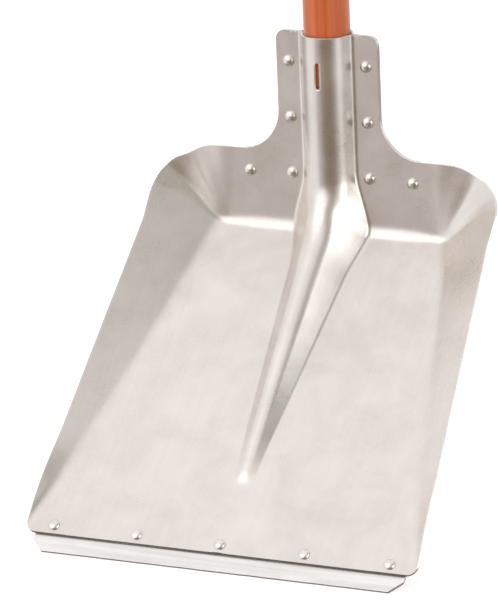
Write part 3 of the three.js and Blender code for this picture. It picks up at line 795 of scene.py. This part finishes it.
class Graph:
    """A short way to build a material's node tree."""

    def __init__(self, name):
        self.material = bpy.data.materials.new(name)
        self.material.use_nodes = True
        self.tree = self.material.node_tree
        self.shader = next(n for n in self.tree.nodes if n.type == "BSDF_PRINCIPLED")
        self.place = self.add("ShaderNodeTexCoord").outputs["Object"]

    def add(self, kind, **settings):
        made = self.tree.nodes.new(kind)
        for key, value in settings.items():
            setattr(made, key, value)
        return made

    def link(self, source, socket):
        self.tree.links.new(source, socket)

    def set(self, **values):
        """Sets the shader's own numbers and colours, named with _ for a space."""
        for key, value in values.items():
            self.shader.inputs[key.replace("_", " ")].default_value = value

    def finish(self, colour, roughness, normal):
        """Links the shader's three varying inputs."""
        self.link(colour, self.shader.inputs["Base Color"])
        self.link(roughness, self.shader.inputs["Roughness"])
        self.link(normal, self.shader.inputs["Normal"])

    def mapped(self, scale=(1, 1, 1), turn=(0, 0, 0)):
        """Object coordinates turned, then stretched by scale."""
        turned = self.add("ShaderNodeMapping")
        turned.inputs["Rotation"].default_value = turn
        stretched = self.add("ShaderNodeMapping")
        stretched.inputs["Scale"].default_value = scale
        self.link(self.place, turned.inputs["Vector"])
        self.link(turned.outputs[0], stretched.inputs["Vector"])
        return stretched.outputs[0]

    def noise(self, vector, scale=1.0, detail=3.0, roughness=0.5, distortion=0.0):
        made = self.add("ShaderNodeTexNoise")
        self.link(vector, made.inputs["Vector"])
        made.inputs["Scale"].default_value = scale
        made.inputs["Detail"].default_value = detail
        made.inputs["Roughness"].default_value = roughness
        made.inputs["Distortion"].default_value = distortion
        return made.outputs["Fac"]

    def ramp(self, factor, *stops):
        """A colour ramp: each stop is a place from 0 to 1 and a colour or a grey."""
        made = self.add("ShaderNodeValToRGB")
        self.link(factor, made.inputs["Fac"])
        elements = made.color_ramp.elements
        while len(elements) < len(stops):
            elements.new(0.5)
        for element, (position, value) in zip(elements, stops):
            element.position = position
            element.color = (*value, 1) if isinstance(value, tuple) else (value, value, value, 1)
        return made.outputs["Color"]

    def mix(self, factor, a, b, blend="MIX"):
        made = self.add("ShaderNodeMix", data_type="RGBA", blend_type=blend)
        for value, socket in ((factor, MIX_FACTOR), (a, MIX_A), (b, MIX_B)):
            if isinstance(value, bpy.types.NodeSocket):
                self.link(value, made.inputs[socket])
            else:
                made.inputs[socket].default_value = (*value, 1) if isinstance(value, tuple) else value
        return made.outputs[MIX_RESULT]

    def math(self, operation, a, b):
        made = self.add("ShaderNodeMath", operation=operation)
        for value, socket in ((a, 0), (b, 1)):
            if isinstance(value, bpy.types.NodeSocket):
                self.link(value, made.inputs[socket])
            else:
                made.inputs[socket].default_value = value
        return made.outputs[0]

    def weighted(self, base, *parts):
        """A base number plus each source times its weight."""
        total = base
        for source, weight in parts:
            total = self.math("ADD", self.math("MULTIPLY", source, weight), total)
        return total

    def front_edge_shade(self):
        """1 on the pan's front edge, which gets painted shade for the gap over the steel strip, and 0
        behind it.
        """
        axis = Vector((0, SIN, COS))
        dot = self.add("ShaderNodeVectorMath", operation="DOT_PRODUCT")
        self.link(self.place, dot.inputs[0])
        dot.inputs[1].default_value = axis
        front = axis.dot(Vector((0, NECK_Y, FOLD_Z))) + FRONT_Y * MM
        full_shade, clean = EDGE_SHADE_DEPTHS
        fade = self.add("ShaderNodeMapRange")
        fade.inputs["From Min"].default_value = front + clean * MM
        fade.inputs["From Max"].default_value = front + full_shade * MM
        self.link(dot.outputs["Value"], fade.inputs["Value"])
        return fade.outputs[0]

    def bump(self, height, distance, strength=1.0, under=None):
        """A bump whose height of 1 is distance metres."""
        made = self.add("ShaderNodeBump")
        made.inputs["Strength"].default_value = strength
        made.inputs["Distance"].default_value = distance
        self.link(height, made.inputs["Height"])
        if under is not None:
            self.link(under, made.inputs["Normal"])
        return made.outputs["Normal"]


def sheet_material():
    """Rolled sheet with smudges, fine rolling lines, light scratches and painted shade along its front
    edge.
    """
    g = Graph("rolled_aluminium")
    blotch = g.noise(g.mapped(), 26, detail=5, roughness=0.6, distortion=0.4)
    stain = g.noise(g.mapped(turn=(PAN_TURN, 0, 0)), 9, detail=4, roughness=0.65, distortion=0.8)
    lines = g.noise(g.mapped((420, 5, 420), (PAN_TURN, 0, 0)), 1, detail=3, roughness=0.6)
    grain = g.noise(g.mapped(), 1500, detail=2, roughness=0.6)
    scratches = []
    for angle in (0.35, -0.6, 1.35):
        streaks = g.noise(g.mapped((14, 700, 14), (PAN_TURN, 0, angle)), 1, detail=1, roughness=0.4)
        scratches.append(g.ramp(streaks, (0.68, 0.0), (0.76, 1.0)))
    marks = g.math("MAXIMUM", g.math("MAXIMUM", scratches[0], scratches[1]), scratches[2])
    clean = g.ramp(blotch, (0.3, ALUMINIUM_DULL), (0.55, ALUMINIUM), (0.75, ALUMINIUM_BRIGHT))
    smudged = g.mix(g.ramp(stain, (0.52, 0.0), (0.72, 0.55)), clean, SMUDGE)
    rolled = g.mix(g.ramp(lines, (0.35, 0.0), (0.7, 0.12)), smudged, ROLLING_LINE)
    fine = g.bump(lines, 0.012 * MM, under=g.bump(grain, 0.01 * MM))
    g.finish(
        # painted shade: the pan's front edge is darkened to near black
        colour=g.mix(g.front_edge_shade(), rolled, PAINTED_SHADE_DARK),
        roughness=g.weighted(0.11, (blotch, 0.16), (lines, 0.10), (stain, 0.12), (marks, -0.03)),
        normal=g.bump(blotch, 0.12 * MM, under=fine),
    )
    g.set(Metallic=1.0)
    return g.material


def rivet_material():
    g = Graph("rivet_aluminium")
    dents = g.noise(g.mapped(), 420, detail=3, roughness=0.6)
    tone = g.noise(g.mapped(), 160, detail=3, roughness=0.5)
    g.finish(
        colour=g.ramp(tone, (0.3, RIVET_DULL), (0.7, RIVET_BRIGHT)),
        roughness=g.weighted(0.14, (dents, 0.2)),
        normal=g.bump(dents, 0.12 * MM, strength=0.6),
    )
    g.set(Metallic=1.0)
    return g.material


def strip_material():
    """Steel ground along its length, a little stained."""
    g = Graph("ground_steel")
    lines = g.noise(g.mapped((5, 1600, 1600), (PAN_TURN, 0, 0)), 1, detail=3, roughness=0.65)
    coarse = g.noise(g.mapped((9, 260, 260), (PAN_TURN, 0, 0)), 1, detail=2, roughness=0.5)
    blotch = g.noise(g.mapped(), 40, detail=4, roughness=0.6)
    tone = g.ramp(coarse, (0.3, STEEL_DULL), (0.65, STEEL_BRIGHT))
    g.finish(
        colour=g.mix(g.ramp(blotch, (0.5, 0.0), (0.75, 0.3)), tone, STEEL_STAIN),
        roughness=g.weighted(0.16, (lines, 0.22), (blotch, 0.1)),
        normal=g.bump(coarse, 0.03 * MM, under=g.bump(lines, 0.01 * MM)),
    )
    g.set(Metallic=1.0)
    return g.material


def wood_material():
    """Red-brown lacquered wood with its grain along the shaft."""
    g = Graph("lacquered_wood")
    streak = g.noise(g.mapped((260, 260, 5)), 1, detail=4, roughness=0.6, distortion=0.3)
    band = g.noise(g.mapped((55, 55, 2.2)), 1, detail=3, roughness=0.5, distortion=0.6)
    pores = g.noise(g.mapped((1500, 1500, 40)), 1, detail=2, roughness=0.6)
    wood = g.ramp(streak, (0.3, WOOD_DARK), (0.5, WOOD), (0.72, WOOD_LIGHT))
    banded = g.mix(g.ramp(band, (0.35, 0.0), (0.7, 0.5)), wood, WOOD_BAND)
    fine = g.bump(pores, 0.03 * MM, strength=0.5)
    g.finish(
        colour=g.mix(g.ramp(pores, (0.62, 0.0), (0.7, 0.35)), banded, WOOD_PORE),
        roughness=g.weighted(0.3, (streak, 0.25)),
        normal=g.bump(streak, 0.08 * MM, strength=0.7, under=fine),
    )
    g.set(Coat_Weight=0.4, Coat_Roughness=0.2, Sheen_Weight=1.0, Sheen_Roughness=0.35)
    return g.material


def screw_material():
    g = Graph("zinc_plate")
    spangle = g.noise(g.mapped(), 900, detail=3, roughness=0.6)
    g.finish(
        colour=g.ramp(spangle, (0.35, ZINC_DULL), (0.65, ZINC_BRIGHT)),
        roughness=g.weighted(0.2, (spangle, 0.2)),
        normal=g.bump(spangle, 0.02 * MM),
    )
    g.set(Metallic=1.0)
    return g.material


# ---- Pieces ----
def dress(piece, material, node):
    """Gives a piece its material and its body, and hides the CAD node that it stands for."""
    piece.data.materials.clear()
    piece.data.materials.append(material)
    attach(piece, "root")
    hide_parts(node)


aluminium = sheet_material()
rivet_metal = rivet_material()
dress(blade_object(), aluminium, "blade")
dress(back_object(), aluminium, "socket_back")
dress(strip_object(), strip_material(), "wear_strip")
dress(shaft_object(), wood_material(), "handle_shaft")
dress(screw_object(), screw_material(), "handle_screw")

NECK_STACK = 2 * SHEET + GAP
EDGE_STACK = SHEET + GAP + STRIP_T
for side, sign in (("left", -1), ("right", 1)):
    spots = {level: (NECK_RIVET_X, s) for level, s in NECK_RIVET_S.items()}
    spots["outer"] = (OUTER_RIVET_X, OUTER_RIVET_S)
    for level, (x, s) in spots.items():
        origin = neck_to_row(sign * x, s, 0.0)
        rivet = rivet_object(f"rivet_{side}_{level}", NECK_STACK, origin, NECK_NORMAL)
        dress(rivet, rivet_metal, f"neck_rivet_{side}_{level}")
for k in range(5):
    origin = pan_to_row((k - 2) * EDGE_RIVET_PITCH, EDGE_RIVET_Y, 0.0)
    rivet = rivet_object(f"rivet_edge_{k + 1}", EDGE_STACK, origin, FLOOR_NORMAL)
    dress(rivet, rivet_metal, f"edge_rivet_{k + 1}")


# ---- Stage ----
FLOOR_RINGS = (0.5, 2.0, 8.0, 25.0, 60.0)  # radii in metres


def floor_object():
    count = 64
    angles = np.linspace(0, 2 * math.pi, count, endpoint=False)
    verts = [(0.0, 0.0, 0.0)]
    verts += [(r * math.cos(a), r * math.sin(a), 0.0) for r in FLOOR_RINGS for a in angles]
    faces = [[0, 1 + i, 1 + (i + 1) % count] for i in range(count)]
    for k in range(len(FLOOR_RINGS) - 1):
        low = 1 + k * count
        for i in range(count):
            j = (i + 1) % count
            faces.append([low + i, low + count + i, low + count + j, low + j])
    floor = mesh_object("studio_floor", verts, faces)
    g = Graph("pale_floor")
    g.set(Base_Color=(0.93, 0.93, 0.93, 1), Roughness=0.9)
    g.set(Emission_Color=(1, 1, 1, 1), Emission_Strength=0.45)
    floor.data.materials.append(g.material)
    floor.visible_glossy = False  # metal mirrors the soft light all round rather than the floor


def area_light(name, location, aim, size, power):
    """A soft light that the metal doesn't mirror: its reflections come from the world alone."""
    data = bpy.data.lights.new(name, "AREA")
    data.shape = "RECTANGLE"
    data.size, data.size_y = size
    data.energy = power
    light = bpy.data.objects.new(name, data)
    light.location = location
    light.rotation_euler = (Vector(aim) - Vector(location)).to_track_quat("-Z", "Y").to_euler()
    light.visible_glossy = False
    bpy.context.scene.collection.objects.link(light)


# What the metal mirrors. Each patch of the room has an azimuth from -Y towards +X, an elevation, the
# angle where it's at full strength, the angle where it ends, and its colour.
ROOM_LOW = (0.455, 0.40, 0.375)
ROOM_HIGH = (1.0, 0.968, 0.95)
HORIZON = (-0.12, 0.0)  # heights between which low goes over to high, with 1 straight up
ROOM_PATCHES = (
    (-28, 28, 21, 36, (1.5, 1.48, 1.45)),  # window in front on the left
    (-58, -12, 16, 31, (0.98, 0.95, 0.93)),
    (-96, 2, 8, 18, (0.86, 0.82, 0.79)),
    (80, 42, 22, 30, (0.47, 0.445, 0.425)),  # dim wall on the right
    (59, 37, 7, 15, (0.34, 0.33, 0.30)),
    (30, 26, 11, 25, (0.42, 0.40, 0.35)),
    (80, -22, 26, 37, (0.36, 0.33, 0.305)),
    (99, 10, 14, 17, (2.5, 2.5, 2.45)),  # window on the right, low and wide
    (72, 8, 16, 22, (2.3, 2.3, 2.25)),
    (57, 54, 3, 11, (0.82, 0.79, 0.76)),
    (18, -20, 25, 32, (0.25, 0.195, 0.14)),  # dark ground in front on the right
    (0, -90, 32, 50, (0.20, 0.18, 0.17)),  # shade under the shovel
)


def studio_world():
    world = bpy.data.worlds.new("studio")
    bpy.context.scene.world = world
    world.use_nodes = True
    tree = world.node_tree
    background = next(n for n in tree.nodes if n.type == "BACKGROUND")
    direction = tree.nodes.new("ShaderNodeTexCoord").outputs["Generated"]

    def along(axis):
        dot = tree.nodes.new("ShaderNodeVectorMath")
        dot.operation = "DOT_PRODUCT"
        tree.links.new(direction, dot.inputs[0])
        dot.inputs[1].default_value = axis
        return dot.outputs["Value"]

    def share(value, start, end):
        made = tree.nodes.new("ShaderNodeMapRange")
        made.interpolation_type = "SMOOTHSTEP"
        made.inputs["From Min"].default_value = start
        made.inputs["From Max"].default_value = end
        tree.links.new(value, made.inputs["Value"])
        return made.outputs[0]

    def mix(factor, under, colour):
        made = tree.nodes.new("ShaderNodeMix")
        made.data_type = "RGBA"
        tree.links.new(factor, made.inputs[MIX_FACTOR])
        if isinstance(under, tuple):
            made.inputs[MIX_A].default_value = (*under, 1)
        else:
            tree.links.new(under, made.inputs[MIX_A])
        made.inputs[MIX_B].default_value = (*colour, 1)
        return made.outputs[MIX_RESULT]

    room = mix(share(along((0, 0, 1)), *HORIZON), ROOM_LOW, ROOM_HIGH)
    for azimuth, elevation, full, end, colour in ROOM_PATCHES:
        turn = math.radians(azimuth)
        rise = math.radians(elevation)
        axis = (math.sin(turn) * math.cos(rise), -math.cos(turn) * math.cos(rise), math.sin(rise))
        edge = share(along(axis), math.cos(math.radians(end)), math.cos(math.radians(full)))
        room = mix(edge, room, colour)
    tree.links.new(room, background.inputs["Color"])


# The camera looks along a long lens at a point in front of, below and left of the rear fold's middle.
CAMERA_AZIMUTH = math.radians(25.94)
CAMERA_ELEVATION = math.radians(16.64)
CAMERA_ROLL = math.radians(-2.31)
CAMERA_DISTANCE = 4.8546
CAMERA_LENS = 360.0
LOOK_AT = Vector((-0.0564, NECK_Y - 0.0445, FOLD_Z - 0.0515))


def studio_camera():
    data = bpy.data.cameras.new("camera")
    data.lens = CAMERA_LENS
    data.sensor_width = 36
    data.clip_end = 500
    camera = bpy.data.objects.new("camera", data)
    back = Vector((
        math.sin(CAMERA_AZIMUTH) * math.cos(CAMERA_ELEVATION),
        -math.cos(CAMERA_AZIMUTH) * math.cos(CAMERA_ELEVATION),
        math.sin(CAMERA_ELEVATION),
    ))
    level = Vector((0, 0, 1)).cross(back).normalized()
    upright = back.cross(level)
    right = level * math.cos(CAMERA_ROLL) + upright * math.sin(CAMERA_ROLL)
    turn = Matrix((right, back.cross(right), back)).transposed()
    camera.matrix_world = Matrix.Translation(LOOK_AT + back * CAMERA_DISTANCE) @ turn.to_4x4()
    bpy.context.scene.collection.objects.link(camera)
    bpy.context.scene.camera = camera


floor_object()
studio_world()
studio_camera()
area_light("key", location=(-1.6, -2.4, 3.0), aim=(0, 0, 0.4), size=(2.4, 2.4), power=30)
bpy.context.scene.view_settings.view_transform = "Standard"
